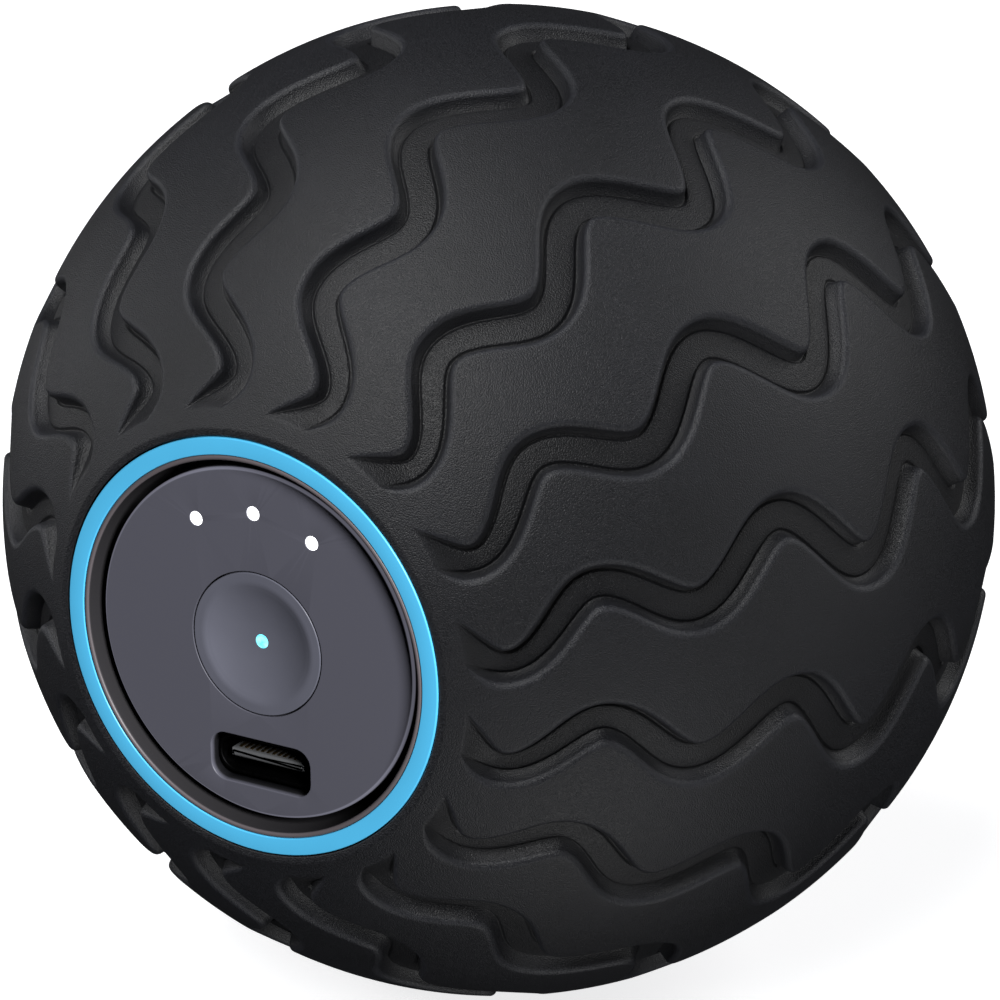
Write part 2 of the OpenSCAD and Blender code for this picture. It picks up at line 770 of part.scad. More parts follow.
module battery_tabs() {
    start = cell_len / 2 + 0.01;
    color("silver") facing() for (side = [0, 1])
        rotate(side * 180) block([start, -2.5, cell_z - 3], [start + 0.15, 2.5, -8.5]);
}

// ---- Motor ----

module motor_can() {
    color("#b9bcc0") facing() lying(motor_z) difference() {
        union() {
            rod(motor_r, can_open, can_front);
            rod(3.3, can_front - 0.1, can_front + 0.8);
        }
        difference() {
            rod(motor_r - 0.6, can_open - 1, can_front - 0.6);
            rod(3.5, 13, can_front);
        }
        rod(2.5, 0, 20);
    }
}

module motor_magnets() {
    color("#4a4b50") facing() lying(motor_z) for (side = [0, 180])
        arc_tube(magnet_r - 1.75, magnet_r, -8, 12, side - 62, side + 62);
}

module motor_end_bell() {
    rail_z = 1.3;
    color("#2d2f33") facing() lying(motor_z) difference() {
        union() {
            rod(motor_r, bell_back, can_open);
            tube(10.2, 11.55, can_open - 0.1, -10.4);
            rod(3.3, bell_back - 0.8, bell_back + 0.1);
            for (side = [0, 180]) rotate(side) for (rail = [-1, 1])
                block([rail < 0 ? -rail_z - 0.9 : rail_z, 3.7, can_open - 0.1],
                    [rail < 0 ? -rail_z : rail_z + 0.9, 8, -9.8]);
        }
        rod(2.5, -20, 0);
    }
}

module motor_bushes() {
    color("#b08d57") facing() lying(motor_z) for (start = [-16.3, 13])
        tube(shaft_r + 0.03, 2.48, start, start + 3.3);
}

module motor_brushes() {
    color("#3b3b3e") facing() lying(motor_z) for (side = [0, 180])
        rotate(side) block([-1.2, 3.32, -11.8], [1.2, 6.6, -9.9]);
}

module motor_terminals() {
    color("#c9a24a") facing() for (dz = [-4.6, 4.6])
        block([-16.7, -9.6, motor_z + dz - 0.9], [bell_back - fit, -7.6, motor_z + dz + 0.9]);
}

module motor_shaft() {
    color("#d5d7da") facing() lying(motor_z) rod(shaft_r, -26, 26);
}

module rotor_core() {
    half_angle = 48;
    reach = 2 * core_r;
    color("#7d8086") facing() lying(motor_z) translate([0, 0, -6]) linear_extrude(14) difference() {
        union() {
            circle(3.6);
            for (tooth = [0, 120, 240]) rotate(tooth) {
                translate([2, -1.5]) square([6.2, 3]);
                intersection() {
                    difference() {
                        circle(core_r);
                        circle(7.8);
                    }
                    polygon([[0, 0], reach * [cos(half_angle), -sin(half_angle)],
                        reach * [cos(half_angle), sin(half_angle)]]);
                }
            }
        }
        circle(shaft_r + fit);
    }
}

module rotor_windings() {
    color("#b8693a") facing() lying(motor_z) for (tooth = [0, 120, 240])
        rotate(tooth) difference() {
            block([4.3, -3.3, -8.4], [6.95, 3.3, 10.4]);
            block([4, -1.55, -6.05], [8, 1.55, 8.05]);
        }
}

module commutator() {
    color("#c07a45") facing() lying(motor_z) difference() {
        rod(3.2, -12.2, -9.2);
        rod(shaft_r + fit, -13, -9);
        for (gap = [60, 180, 300]) rotate(gap) block([2.4, -0.2, -12], [4, 0.2, -9.1]);
    }
}

// Eccentric weight on the shaft, from z = 0 to z = weight_len: its mass hangs to -y
module weight() {
    hub_r = 4;
    difference() {
        union() {
            intersection() {
                rod(weight_r, 0, weight_len);
                block([-weight_r - 1, -weight_r - 1, 0], [weight_r + 1, 0, weight_len]);
            }
            rod(hub_r, 0, weight_len);
        }
        rod(shaft_r + fit, -1, weight_len + 1);
        translate([0, 0, weight_len / 2]) rotate([-90, 0, 0]) rod(1, 0, hub_r + 1);
    }
}

module weight_right() {
    color("#9a8f62") facing() translate([weight_x, 0, motor_z]) rotate([0, 90, 0]) weight();
}

module weight_left() {
    color("#9a8f62") facing() mirror([1, 0, 0])
        translate([weight_x, 0, motor_z]) rotate([0, 90, 0]) weight();
}

module weight_set_screws() {
    color("#3b3b3e") facing() for (side = [-1, 1])
        translate([side * (weight_x + weight_len / 2), 0, motor_z]) rotate([-90, 0, 0])
            difference() {
                rod(1 - fit, shaft_r + 0.05, 3.9);
                translate([0, 0, 3]) rotate(30) cylinder(r = 0.5, h = 2, $fn = 6);
            }
}

silicone_sleeve();
accent_ring();
bezel();
control_cap();
power_button();
button_lens();
led_light_guide();
led_baffle();
front_shell();
rear_shell();
shell_seal();
shell_screws();
bezel_screws();
main_board();
board_screws();
status_leds();
switch_body();
switch_plunger();
switch_dome();
port_shell();
port_tongue();
port_contacts();
microcontroller();
charge_controller();
motor_driver();
board_components();
battery_header();
battery_plug();
motor_header();
motor_plug();
battery_lead_red();
battery_lead_black();
motor_lead_red();
motor_lead_black();
chassis();
motor_clamps();
motor_clamp_screws();
motor_dampers();
battery_clamps();
battery_clamp_screws();
battery_pads();
battery_cell();
battery_wrap();
battery_washer();
battery_tabs();
motor_can();
motor_magnets();
motor_end_bell();
motor_bushes();
motor_brushes();
motor_terminals();
motor_shaft();
rotor_core();
rotor_windings();
commutator();
weight_left();
weight_right();
weight_set_screws();
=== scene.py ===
"""Looks of the vibrating massage ball: a wave-grooved silicone sleeve, and a control cap with its
blue ring, dished button, level lights and charging port.

Pieces are drawn in millimetres in the cap's frame, x to the right, y up and z out of the cap, as the
CAD is. world() turns them into the row's frame, in metres: the cap looks along -Y and +Z is up.
"""

import json
import math

import bpy
import numpy as np
from mathutils import Matrix, Vector
from mathutils.geometry import delaunay_2d_cdt

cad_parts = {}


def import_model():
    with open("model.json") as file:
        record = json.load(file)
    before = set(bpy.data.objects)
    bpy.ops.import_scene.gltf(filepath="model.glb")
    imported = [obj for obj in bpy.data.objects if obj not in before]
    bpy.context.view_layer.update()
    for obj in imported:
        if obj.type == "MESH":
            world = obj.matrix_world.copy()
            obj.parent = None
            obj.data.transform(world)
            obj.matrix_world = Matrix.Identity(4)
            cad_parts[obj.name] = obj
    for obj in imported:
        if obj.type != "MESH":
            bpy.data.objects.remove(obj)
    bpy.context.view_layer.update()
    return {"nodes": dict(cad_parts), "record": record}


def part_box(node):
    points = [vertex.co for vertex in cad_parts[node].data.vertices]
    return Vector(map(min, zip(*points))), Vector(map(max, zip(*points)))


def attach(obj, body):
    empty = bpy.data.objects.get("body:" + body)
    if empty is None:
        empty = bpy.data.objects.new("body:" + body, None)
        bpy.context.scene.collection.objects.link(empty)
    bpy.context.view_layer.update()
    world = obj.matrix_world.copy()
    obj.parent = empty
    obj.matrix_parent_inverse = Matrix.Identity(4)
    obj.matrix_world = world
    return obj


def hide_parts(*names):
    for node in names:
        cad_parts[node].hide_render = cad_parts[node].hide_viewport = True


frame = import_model()
SCENE = bpy.context.scene
TAU = 2 * math.pi

# ---- Sizes, in millimetres, from the frame where it has them ----

MM = 1000.0


def front_of(node):
    """Height of a CAD node's front above the ball's centre."""
    return -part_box(node)[0].y * MM


def radius_of(node):
    """Outer radius of a CAD node that is round about the cap's axis."""
    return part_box(node)[1].x * MM


BALL_R = 40.0
SLEEVE_IN_R = 36.6
OPENING_R = 16.75
LIP_OUT_R = 17.35                  # flat lip around the opening, and the rounding of its edges
LIP_EDGE = 0.12
REAR_END = 178.5                   # angle at which the sleeve's rows stop, just short of the rear pole

GROOVES = 16
GROOVE_PITCH = 360.0 / GROOVES
GROOVE_DEPTH = 1.25
WAVE_SHARPNESS = 0.35              # from 0 for a sine to 1 for a zigzag
TURN_ROUNDING = 0.38               # how far a groove's edges keep to true parallels of its middle
# Turning points of a groove: angle from the cap's axis, angle around it, width of the floor
TURNS = (
    (27.9, 12.6, 2.3), (32.3, 5.6, 2.1), (43.0, 16.6, 2.6), (53.8, 9.4, 2.9), (65.5, 17.2, 2.9),
    (77.0, 7.8, 3.0), (88.0, 17.4, 2.8), (98.8, 7.7, 2.9), (109.9, 17.1, 2.9), (121.0, 8.1, 2.9),
    (132.2, 16.7, 2.6), (143.0, 6.0, 2.1), (147.6, 12.6, 2.3),
)
FLOOR_TRIM = 0.1                   # by which the floor is narrower than TURNS says, on each side
WALL_ANGLE = math.radians(72)      # of a groove's wall, from the surface
LAND_FILLET = 0.62                 # rounding of a wall's top
GROOVE_FLOOR_PAINTED_SHADE = 0.62                # painted shade: tone of a groove's floor against the lands
EDGE_PAINTED_HIGHLIGHT = 1.6                    # painted highlight: tone of its rounded edges, lighter than the lands
CREASE_W, CREASE_D = 0.26, 0.18    # narrow crease where a wall meets the floor
# Points of the crease: place and depth as shares of its size, and tone, a painted shade darkest at its
# deepest point
CREASE = ((-1.5, 0, GROOVE_FLOOR_PAINTED_SHADE), (-1.15, 0.08, GROOVE_FLOOR_PAINTED_SHADE), (-0.95, 0.4, 0.55),
          (-0.5, 1.0, 0.45), (-0.1, 0.9, 0.7))
FLOOR_STEPS = 4
ARC_STEPS = 9
LAND_STEPS = 12

RING_FACE = front_of("accent_ring")
RING_IN = 15.27
RING_OUT = radius_of("accent_ring")
RING_DEPTH = 1.46
RING_EDGE = 0.1
BEZEL_IN = 14.85
BEZEL_BACK = 26.4
BEZEL_EDGE = 0.19
COLLAR_OUT = 19.5                  # flange behind the bezel
FLANGE_T = 1.2
LEDGE_IN = 12.8                    # ledge in the bezel, the floor of the gap around the cap
LEDGE_BACK = 28.3
LEDGE_FRONT = 29.8

CAP_R = radius_of("control_cap")
CAP_FACE = front_of("control_cap")
CAP_T = 1.6
CAP_SPREAD = 0.1                   # by which the cap shown is larger than the CAD disc
CAP_EDGE = 0.3                     # rounding of the cap's outer edge, and of its holes' edges
BUTTON_HOLE_EDGE = 0.04
PORT_EDGE = 0.1
LIGHT_HOLE_EDGE = 0.03
FIT = 0.02                         # gap between pieces that are pressed together

BUTTON_HOLE_R = 5.83
BUTTON_R = 5.7
BUTTON_EDGE = 0.06
BUTTON_BACK = 32.5
BUTTON_FLANGE_R = 6.75
BUTTON_FLANGE_FRONT = 33.37
BUTTON_STEM_R = 1.9
BUTTON_STEM_BACK = 32.32
DISH_R = 4.8
DISH_DEPTH = 0.7
DISH_POWER = 2.3
DISH_BLEND = 0.3                   # half the width of the dish's soft edge

LIGHT_R = 0.55
LIGHT_CIRCLE_R = 10.53
LIGHT_ANGLES = [math.radians(a) for a in (60.5, 90.0, 119.5)]
LIGHT_PLACES = [(LIGHT_CIRCLE_R * math.cos(a), LIGHT_CIRCLE_R * math.sin(a)) for a in LIGHT_ANGLES]
LIGHT_SINK = 0.07                  # depth of a window's edge below the face around it
LIGHT_BACK = 29.5
LENS_SINK = 0.03
LENS_BACK = 32.34
WINDOW_DOME = 0.08                 # height of a window's dome
AXIS_R = 0.01                      # at which a turned outline stops, just short of the axis

PORT_DROP = 9.87
PORT_CENTRE = (0, -PORT_DROP)
PORT_W, PORT_H, PORT_CORNER = 9.0, 3.9, 1.3
PORT_SHELL_W, PORT_SHELL_H, PORT_SHELL_CORNER = 8.94, 3.26, 1.6
PORT_SHELL_T = 0.3
PORT_BACK = 28.4
PORT_FLOOR = 30.2
TONGUE_W, TONGUE_T, TONGUE_CORNER = 6.69, 0.7, 0.12
CONTACTS = 12                      # on each side of the tongue
CONTACT_PITCH = 0.5
CONTACT_W, CONTACT_TOP_W = 0.25, 0.2
CONTACT_RISE = 0.07                # height above the tongue
CONTACT_TIP = 0.05                 # drop of a contact's sloping tip
CONTACT_BACK, CONTACT_SLOPE, CONTACT_FRONT = 30.4, 33.55, 33.7


# ---- Mesh helpers ----


def world(points):
    """Points of the cap's frame, in millimetres, as points of the row's frame, in metres."""
    p = np.asarray(points, float)
    return np.stack([p[..., 0], -p[..., 2], p[..., 1]], -1) / MM


def new_piece(name, points, faces, material, body, replaces=(), smooth=True):
    """A mesh object from points of the cap's frame, riding on a body."""
    mesh = bpy.data.meshes.new(name)
    mesh.from_pydata(world(points).tolist(), [], faces)
    mesh.validate()
    mesh.materials.append(material)
    mesh.polygons.foreach_set("use_smooth", [smooth] * len(mesh.polygons))
    mesh.update()
    piece = bpy.data.objects.new(name, mesh)
    SCENE.collection.objects.link(piece)
    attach(piece, body)
    if replaces:
        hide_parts(*replaces)
    return piece


def weight_normals(piece):
    """Large flat faces keep their own direction next to small rounded edges."""
    modifier = piece.modifiers.new("normals", "WEIGHTED_NORMAL")
    modifier.weight = 90
    return piece


def grid_faces(rows, columns, first=0):
    """Quads between the rows of a closed grid of points, which are numbered from first."""
    faces = []
    for i in range(rows - 1):
        a = first + i * columns
        for j in range(columns):
            k = (j + 1) % columns
            faces.append((a + j, a + k, a + columns + k, a + columns + j))
    return faces


def rounded(corners, steps=6):
    """Outline through (u, v, radius) corners, each rounded to its radius."""
    out = [corners[0][:2]]
    for before, corner, after in zip(corners, corners[1:], corners[2:]):
        p = np.array(corner[:2])
        if corner[2] <= 0:
            out.append(tuple(p))
            continue
        u = np.array(before[:2]) - p
        w = np.array(after[:2]) - p
        u, w = u / np.linalg.norm(u), w / np.linalg.norm(w)
        half = math.acos(np.clip(u @ w, -1, 1)) / 2
        centre = p + (u + w) / np.linalg.norm(u + w) * corner[2] / math.sin(half)
        start = p + u * corner[2] / math.tan(half) - centre
        end = p + w * corner[2] / math.tan(half) - centre
        turn = math.acos(np.clip(start @ end / corner[2] ** 2, -1, 1))
        for s in np.linspace(0, 1, steps + 1):
            mix = (math.sin((1 - s) * turn) * start + math.sin(s * turn) * end) / math.sin(turn)
            out.append(tuple(centre + mix))
    out.append(corners[-1][:2])
    return out


def lathe(name, outline, material, body, replaces=(), segments=256, centre=(0, 0)):
    """Turned piece: an outline of (radius, height) points, turned about the cap's axis."""
    angles = np.linspace(0, TAU, segments, endpoint=False)
    rows = [np.stack([centre[0] + r * np.cos(angles), centre[1] + r * np.sin(angles),
                      np.full(segments, z)], -1) for r, z in outline]
    return new_piece(name, np.concatenate(rows), grid_faces(len(rows), segments), material, body,
                     replaces)


def circle_loop(radius, centre, segments):
    """Function that gives a circle's points at some distance outside its own line."""
    angles = np.linspace(0, TAU, segments, endpoint=False)

    def at(outside):
        r = radius + outside
        return np.stack([centre[0] + r * np.cos(angles), centre[1] + r * np.sin(angles)], -1)
    return at


def slot_loop(width, height, corner, centre, steps=10):
    """Function that gives a round-cornered rectangle's points at some distance outside its line."""
    def at(outside):
        points = []
        r = corner + outside
        for k, (sx, sy) in enumerate(((1, 1), (-1, 1), (-1, -1), (1, -1))):
            for s in np.linspace(0, TAU / 4, steps + 1):
                a = k * TAU / 4 + s
                points.append((centre[0] + sx * (width / 2 - corner) + r * math.cos(a),
                               centre[1] + sy * (height / 2 - corner) + r * math.sin(a)))
        return np.array(points)
    return at


# ---- Materials ----


def linear(r, g, b):
    """Linear colour from screen values of 0 to 255."""
    return [((c / 255 + 0.055) / 1.055) ** 2.4 if c > 10 else c / 255 / 12.92 for c in (r, g, b)] + [1]


def shaded(colour, factor):
    """A colour made lighter or darker by a factor, and fully opaque."""
    return [min(1, c * factor) for c in colour[:3]] + [1]


class Nodes:
    """Short way to build one node material."""

    def __init__(self, name):
        self.material = bpy.data.materials.new(name)
        self.material.use_nodes = True
        self.tree = self.material.node_tree
        self.shader = self.tree.nodes["Principled BSDF"]
        self.place = self.add("ShaderNodeTexCoord").outputs["Object"]

    def add(self, kind, **values):
        node = self.tree.nodes.new(kind)
        for key, value in values.items():
            setattr(node, key, value)
        return node

    def link(self, a, b):
        self.tree.links.new(a, b)

    def set(self, **values):
        for key, value in values.items():
            self.shader.inputs[key.replace("_", " ")].default_value = value

    def noise(self, size, detail=2.0):
        """Noise with features about size millimetres across."""
        node = self.add("ShaderNodeTexNoise")
        node.inputs["Scale"].default_value = MM / size
        node.inputs["Detail"].default_value = detail
        self.link(self.place, node.inputs["Vector"])
        return node.outputs["Fac"]

    def scaled(self, colour, factor):
        """A colour times a number."""
        node = self.add("ShaderNodeVectorMath", operation="SCALE")
        self.link(colour, node.inputs["Vector"])
        self.link(factor, node.inputs["Scale"])
        return node.outputs["Vector"]

    def length_across_axis(self):
        """Distance from the cap's axis, in metres."""
        flat = self.add("ShaderNodeVectorMath", operation="MULTIPLY")
        self.link(self.place, flat.inputs[0])
        flat.inputs[1].default_value = (1, 0, 1)
        length = self.add("ShaderNodeVectorMath", operation="LENGTH")
        self.link(flat.outputs["Vector"], length.inputs[0])
        return length.outputs["Value"]

    def ramp(self, value, stops):
        node = self.add("ShaderNodeValToRGB")
        ramp = node.color_ramp
        while len(ramp.elements) < len(stops):
            ramp.elements.new(0.5)
        for element, (position, colour) in zip(ramp.elements, stops):
            element.position = position
            element.color = colour
        self.link(value, node.inputs["Fac"])
        return node.outputs["Color"]

    def spread(self, value, low, high, from_low=0.3, from_high=0.7):
        """Maps a texture's value onto low to high."""
        node = self.add("ShaderNodeMapRange")
        node.inputs["From Min"].default_value = from_low
        node.inputs["From Max"].default_value = from_high
        node.inputs["To Min"].default_value = low
        node.inputs["To Max"].default_value = high
        self.link(value, node.inputs["Value"])
        return node.outputs["Result"]

    def bump(self, value, height_mm, strength=1.0):
        node = self.add("ShaderNodeBump")
        node.inputs["Distance"].default_value = height_mm / MM
        node.inputs["Strength"].default_value = strength
        self.link(value, node.inputs["Height"])
        self.link(node.outputs["Normal"], self.shader.inputs["Normal"])


def silicone(name, dark, light):
    """Matt moulded silicone: a fine spark-eroded grain, uneven in tone, times the mesh's tone attribute,
    which paints shade into the grooves and highlights onto their rounded edges.
    """
    m = Nodes(name)
    grain = m.noise(0.1, detail=0.0)
    tone = m.ramp(m.noise(9.0, detail=3.0), ((0.3, dark), (0.7, light)))
    tone = m.scaled(tone, m.spread(m.noise(0.1, detail=0.0), 0.7, 1.3))
    # painted shade and highlight: the colour times the sleeve's tone attribute
    tone = m.scaled(tone, m.add("ShaderNodeAttribute", attribute_name="tone").outputs["Fac"])
    m.link(tone, m.shader.inputs["Base Color"])
    m.link(m.spread(grain, 0.42, 0.60), m.shader.inputs["Roughness"])
    m.bump(grain, 0.05, 0.9)
    m.set(Specular_IOR_Level=0.5)
    return m.material


def moulded(name, colour, roughness, grain_mm=0.15, height_mm=0.004, variation=0.05, specular=0.5):
    """Moulded plastic: even colour with slight clouding, and a very fine grain."""
    m = Nodes(name)
    clouds = ((0.3, shaded(colour, 1 - variation)), (0.7, shaded(colour, 1 + variation)))
    m.link(m.ramp(m.noise(4.0), clouds), m.shader.inputs["Base Color"])
    grain = m.noise(grain_mm)
    m.link(m.spread(grain, roughness - 0.04, roughness + 0.04), m.shader.inputs["Roughness"])
    m.bump(grain, height_mm, 0.5)
    m.set(Specular_IOR_Level=specular)
    return m.material


def painted_shade_and_edge_glow(name, top, below, face, reach, lift=0.0):
    """Moulded piece with painted shade: dark below its face, so that its holes and gaps look deep.

    reach is the depth below the face that its painted shade is spread over. lift is the strength of a
    painted highlight, an emission on its rounded outer edge, which the studio lights don't reach.
    """
    m = Nodes(name)
    black = (0, 0, 0, 1)
    axes = m.add("ShaderNodeSeparateXYZ")
    m.link(m.place, axes.inputs["Vector"])
    # painted shade: the colour darkens with depth below the face
    share = m.spread(axes.outputs["Y"], 1.0, 0.0, -face / MM, -(face - reach) / MM)
    m.link(m.ramp(share, ((0.6, below), (0.85, top))), m.shader.inputs["Base Color"])
    # painted highlight: an emission in the face colour on the rounded outer edge near the cap's rim
    glow_from, glow_full = CAP_R - 0.7, CAP_R - 0.5
    outer = m.spread(m.length_across_axis(), 0.0, 1.0, glow_from / MM, glow_full / MM)
    glow = m.ramp(share, ((0.84, black), (0.9, top), (0.985, top), (0.997, black)))
    m.link(m.scaled(glow, outer), m.shader.inputs["Emission Color"])
    m.set(Emission_Strength=lift)
    grain = m.noise(0.12)
    m.link(m.spread(grain, 0.44, 0.52), m.shader.inputs["Roughness"])
    m.bump(grain, 0.003, 0.5)
    # painted shade: the specular level also falls below the face
    m.link(m.spread(share, 0.1, 0.5, 0.3, 0.6), m.shader.inputs["Specular IOR Level"])
    return m.material


def metal(name, colour, roughness):
    """Plated or turned metal with fine unevenness in its polish."""
    m = Nodes(name)
    clouds = ((0.3, shaded(colour, 0.9)), (0.7, shaded(colour, 1.05)))
    m.link(m.ramp(m.noise(2.0), clouds), m.shader.inputs["Base Color"])
    polish = m.noise(0.2, detail=4.0)
    m.link(m.spread(polish, roughness * 0.8, roughness * 1.3), m.shader.inputs["Roughness"])
    m.bump(polish, 0.002, 0.4)
    m.set(Metallic=1.0)
    return m.material


def glowing(name, colour, core, strength):
    """Lit window: brighter in the middle of the diffuser's clouding."""
    m = Nodes(name)
    m.link(m.ramp(m.noise(0.5), ((0.3, colour), (0.7, core))), m.shader.inputs["Emission Color"])
    m.set(Emission_Strength=strength, Roughness=0.25)
    m.shader.inputs["Base Color"].default_value = colour
    return m.material


SILICONE = silicone("silicone_charcoal", linear(27, 28, 32), linear(32, 33, 38))
# cap: painted shade on the walls of its holes and its side, and a painted highlight glowing on its rounded
# outer edge
CAP_GREY_PAINTED_SHADE_GLOW = painted_shade_and_edge_glow("cap_grey", linear(82, 82, 92), linear(24, 24, 27), CAP_FACE, reach=1.3, lift=1.2)
BUTTON_GREY = moulded("button_grey", linear(92, 93, 104), 0.4, grain_mm=0.12, height_mm=0.003)
# bezel: painted shade darkening it below the ring's face, down into the gap around the cap
BEZEL_GREY_PAINTED_SHADE = painted_shade_and_edge_glow("bezel_grey", linear(90, 84, 87), linear(44, 43, 45), RING_FACE, reach=0.5)
RING_BLUE = moulded("ring_blue", linear(82, 184, 231), 0.35, variation=0.02, height_mm=0.001)
LIGHT_WHITE = glowing("light_white", linear(250, 252, 255), linear(255, 255, 255), 3.0)
LIGHT_CYAN = glowing("light_cyan", linear(70, 205, 235), linear(160, 250, 250), 1.6)
PORT_BLACK = metal("port_black", linear(16, 16, 17), 0.5)
TONGUE_BLACK = moulded("tongue_black", linear(80, 81, 83), 0.4)
PORT_FLOOR_BLACK = moulded("port_floor_black", linear(8, 8, 9), 0.7, specular=0.1)
CONTACT_GOLD = metal("contact_gold", linear(190, 165, 120), 0.3)


# ---- Silicone sleeve ----


def wave(t):
    """Rounded zigzag from 0 to 1 as t goes from 0 to 1."""
    return 0.5 + np.arcsin(WAVE_SHARPNESS * np.sin(math.pi * (t - 0.5))) / (2 * math.asin(WAVE_SHARPNESS))


def along_groove(theta, column):
    """Value of a column of TURNS at angles theta from the cap's axis, in degrees."""
    turns = np.array(TURNS)
    last = len(turns) - 2
    i = np.clip(np.searchsorted(turns[:, 0], theta, side="right") - 1, 0, last)
    t = np.clip((theta - turns[i, 0]) / (turns[i + 1, 0] - turns[i, 0]), 0, 1)
    share = wave(t)
    share = np.where(i == 0, np.sin(TAU / 4 * t), share)          # the open ends run out straight
    share = np.where(i == last, 1 - np.cos(TAU / 4 * t), share)
    return turns[i, column] + (turns[i + 1, column] - turns[i, column]) * share


def open_end(theta):
    """0 at a groove's ends, rising to 1 at its first and last turn."""
    ends = [t[0] for t in TURNS]
    front = np.clip((theta - ends[0]) / (ends[1] - ends[0]), 0, 1)
    rear = np.clip((ends[-1] - theta) / (ends[-1] - ends[-2]), 0, 1)
    return np.minimum(front, rear)


def groove_depth(theta):
    """Depth of the groove's floor, which ramps up to the surface at both ends."""
    return GROOVE_DEPTH * np.sin(TAU / 4 * open_end(theta))


def wall_profile():
    """Section of a full-depth wall: distances outside its foot line, and depths below the surface."""
    corner = GROOVE_DEPTH / math.tan(WALL_ANGLE)
    half = math.tan(WALL_ANGLE / 2)
    across = [CREASE_W * place for place, drop, tone in CREASE]
    down = [GROOVE_DEPTH + CREASE_D * drop for place, drop, tone in CREASE]
    for turn in np.linspace(WALL_ANGLE, 0, ARC_STEPS + 1):       # the wall's top, round to the surface
        across.append(corner + LAND_FILLET * half - LAND_FILLET * math.sin(turn))
        down.append(LAND_FILLET * (1 - math.cos(turn)))
    return across, down


def groove_slope(theta, ring):
    """Millimetres that a groove's middle line moves sideways for each one along the ball."""
    step = 0.01
    start = np.clip(theta, TURNS[0][0], TURNS[-1][0] - step)
    return (along_groove(start + step, 1) - along_groove(start, 1)) / step * ring / BALL_R


def groove_columns(theta):
    """Angles from the axis, angles around it and depths of one groove's and one land's points."""
    middle = along_groove(theta, 1)
    width = along_groove(theta, 2)
    depth = groove_depth(theta)
    ring = BALL_R * np.sin(np.radians(np.clip(theta, TURNS[0][0], TURNS[-1][0])))
    degree = 180 / (math.pi * ring)                       # degrees around the axis per millimetre
    slope = groove_slope(theta, ring)
    slant = np.sqrt(1 + slope ** 2)
    rounding = TURN_ROUNDING * open_end(theta)

    def beside(distance):
        """Row by row, a point at a distance square to the groove's middle line."""
        back = rounding * distance * slope / slant
        return (theta - back * 180 / (math.pi * BALL_R),
                middle + distance * (1 + (1 - rounding) * slope ** 2) / slant * degree)

    across, down = wall_profile()
    share = depth / GROOVE_DEPTH                          # walls get lower and narrower at the ends
    narrow = 0.3 + 0.7 * share
    half_floor = width / 2 - FLOOR_TRIM
    tilt, angles, depths = [], [], []

    def place(distance, drop):
        t, a = beside(distance)
        tilt.append(t)
        angles.append(a)
        depths.append(drop)

    for a, d in zip(reversed(across), reversed(down)):    # left wall, from the land to the floor
        place(-half_floor - a * narrow, d * share)
    inner = half_floor + across[0] * narrow
    for s in np.linspace(-1, 1, FLOOR_STEPS + 2)[1:-1]:
        place(inner * s, depth)
    for a, d in zip(across, down):                        # right wall, from the floor to the land
        place(half_floor + a * narrow, d * share)
    start, end = (tilt[-1], angles[-1]), (tilt[0], angles[0] + GROOVE_PITCH)
    for s in np.linspace(0, 1, LAND_STEPS + 2)[1:-1]:
        tilt.append(start[0] + (end[0] - start[0]) * s)
        angles.append(start[1] + (end[1] - start[1]) * s)
        depths.append(0 * depth)
    return np.stack(tilt, 1), np.stack(angles, 1), np.stack(depths, 1)


def groove_painted_light_tones(theta):
    """Tone of groove_columns' points: painted shade on the floors and creases, painted highlights on the
    rounded edges, lands at 1.
    """
    crease = [tone for place, drop, tone in CREASE]
    # painted highlight, brightest halfway round each wall's rounded top
    arc = 1 + (EDGE_PAINTED_HIGHLIGHT - 1) * np.sin(np.linspace(0, TAU / 2, ARC_STEPS + 1)) ** 0.6
    wall = [*crease, *arc]
    columns = np.array(wall[::-1] + [GROOVE_FLOOR_PAINTED_SHADE] * FLOOR_STEPS + wall + [1.0] * LAND_STEPS)
    strength = np.clip(3 * groove_depth(theta) / GROOVE_DEPTH, 0, 1)
    return 1 + strength[:, None] * (columns - 1)


def sleeve_rows():
    """Angles from the axis of the rows of points, dense where the grooves are."""
    front, rear = TURNS[0][0], TURNS[-1][0]
    lip_end = math.degrees(math.asin((LIP_OUT_R + LIP_EDGE) / BALL_R))
    return np.concatenate([
        np.linspace(lip_end, front, 8)[:-1],
        np.linspace(front, rear, 440),
        np.linspace(rear, REAR_END, 22)[1:]])


def lip_outline():
    """Outline of the sleeve's opening: its wall, its flat lip and the lip's rounded edges."""
    lip_z = math.sqrt(BALL_R ** 2 - LIP_OUT_R ** 2)
    inner_z = math.sqrt(SLEEVE_IN_R ** 2 - OPENING_R ** 2)
    sphere_r = LIP_OUT_R + LIP_EDGE
    sphere_z = math.sqrt(BALL_R ** 2 - sphere_r ** 2)
    return rounded([(OPENING_R, inner_z, 0), (OPENING_R, lip_z, LIP_EDGE),
                    (LIP_OUT_R, lip_z, 4 * LIP_EDGE), (sphere_r, sphere_z, 0)])[:-1]


def turned(radius, height, phi):
    """Ring of points at angles phi around the cap's axis."""
    return np.stack([radius * np.cos(phi), radius * np.sin(phi), np.full(len(phi), height)], -1)


def grooved_rows(theta):
    """Rows of points of the sleeve's grooved outside, and the angles of the first row's columns."""
    tilt, angles, depths = groove_columns(theta)
    phi = np.radians(np.concatenate([angles + g * GROOVE_PITCH for g in range(GROOVES)], 1))
    r = BALL_R - np.concatenate([depths] * GROOVES, 1)
    t = np.radians(np.concatenate([tilt] * GROOVES, 1))
    rows = np.stack([r * np.sin(t) * np.cos(phi), r * np.sin(t) * np.sin(phi), r * np.cos(t)], -1)
    return list(rows), phi[0]


